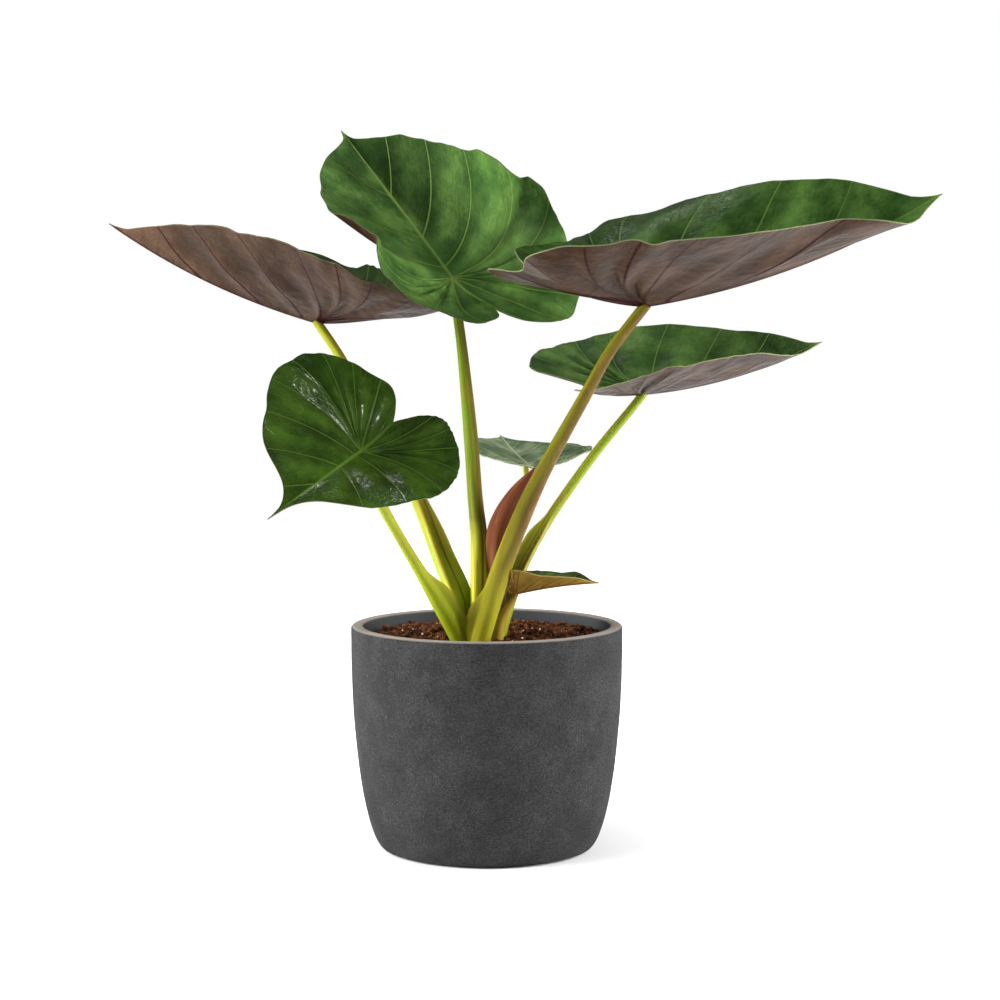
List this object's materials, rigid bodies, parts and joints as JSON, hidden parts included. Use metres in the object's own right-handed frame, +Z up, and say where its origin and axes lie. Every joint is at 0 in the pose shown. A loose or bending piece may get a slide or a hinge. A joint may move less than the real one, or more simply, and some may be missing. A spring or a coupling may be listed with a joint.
{
  "type": "potted alocasia",
  "caption": "Leafy houseplant with large arrow-shaped, wavy-edged blades on long arching stalks, planted in a round footed planter filled with bark potting mix.",
  "frame": {"origin": "centre of the pot's foot, on the floor", "axes": "+Z up; +X to the right as seen from the viewed side, along the widest spread of the leaves; +Y away from the viewer"},
  "size_m": [0.8374, 0.5288, 0.7296],
  "materials": {
    "pot": "rough matt anthracite",
    "soil": "loose dark bark mix",
    "corm": "rough brown skin",
    "blade": "waxy gloss above, satin brown beneath",
    "petiole": "smooth satin",
    "furled_leaf": "satin red-brown"
  },
  "bodies": {
    "root": {"pot": "pot", "soil": "soil", "corm": "corm", "furled_leaf": "furled_leaf", "blade_a": "blade", "blade_b": "blade", "blade_c": "blade", "blade_d": "blade", "blade_e": "blade", "blade_f": "blade", "blade_g": "blade", "petiole_a": "petiole", "petiole_b": "petiole", "petiole_c": "petiole", "petiole_d": "petiole", "petiole_e": "petiole", "petiole_f": "petiole", "petiole_g": "petiole"}
  },
  "joints": []
}
